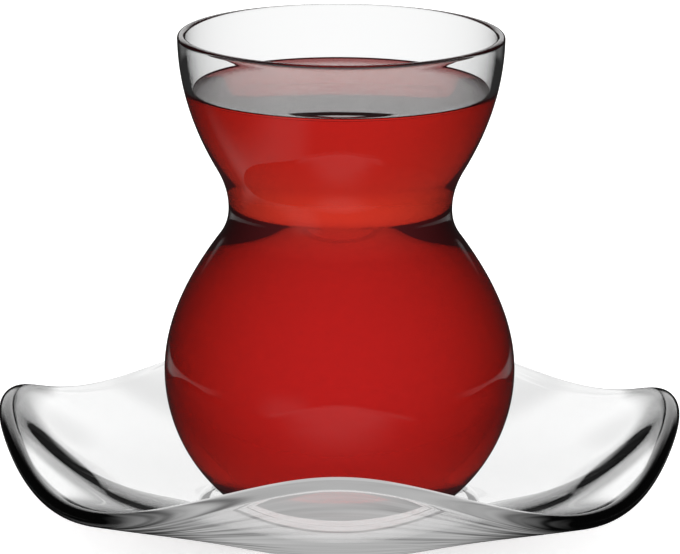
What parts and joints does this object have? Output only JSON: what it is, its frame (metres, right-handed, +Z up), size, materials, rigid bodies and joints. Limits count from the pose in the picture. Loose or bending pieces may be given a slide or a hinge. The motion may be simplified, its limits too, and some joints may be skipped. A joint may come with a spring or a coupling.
{
  "type": "turkish tea glass",
  "caption": "Waisted clear tea glass, filled with red black tea, standing on a clear glass saucer whose rim rises and falls in soft waves.",
  "frame": {"origin": "on the table, under the middle of the saucer's foot", "axes": "+Z up through the middle of the saucer and the glass; a crest of the saucer's rim points along each of +X, +Y, -X and -Y"},
  "size_m": [0.118, 0.118, 0.0856],
  "materials": {
    "saucer_glass": "clear pressed glass, fire polished",
    "clear_glass": "clear blown glass, polished",
    "tea": "clear red black tea"
  },
  "bodies": {
    "root": {"saucer": "saucer_glass", "tea_glass": "clear_glass", "tea": "tea"}
  },
  "joints": []
}
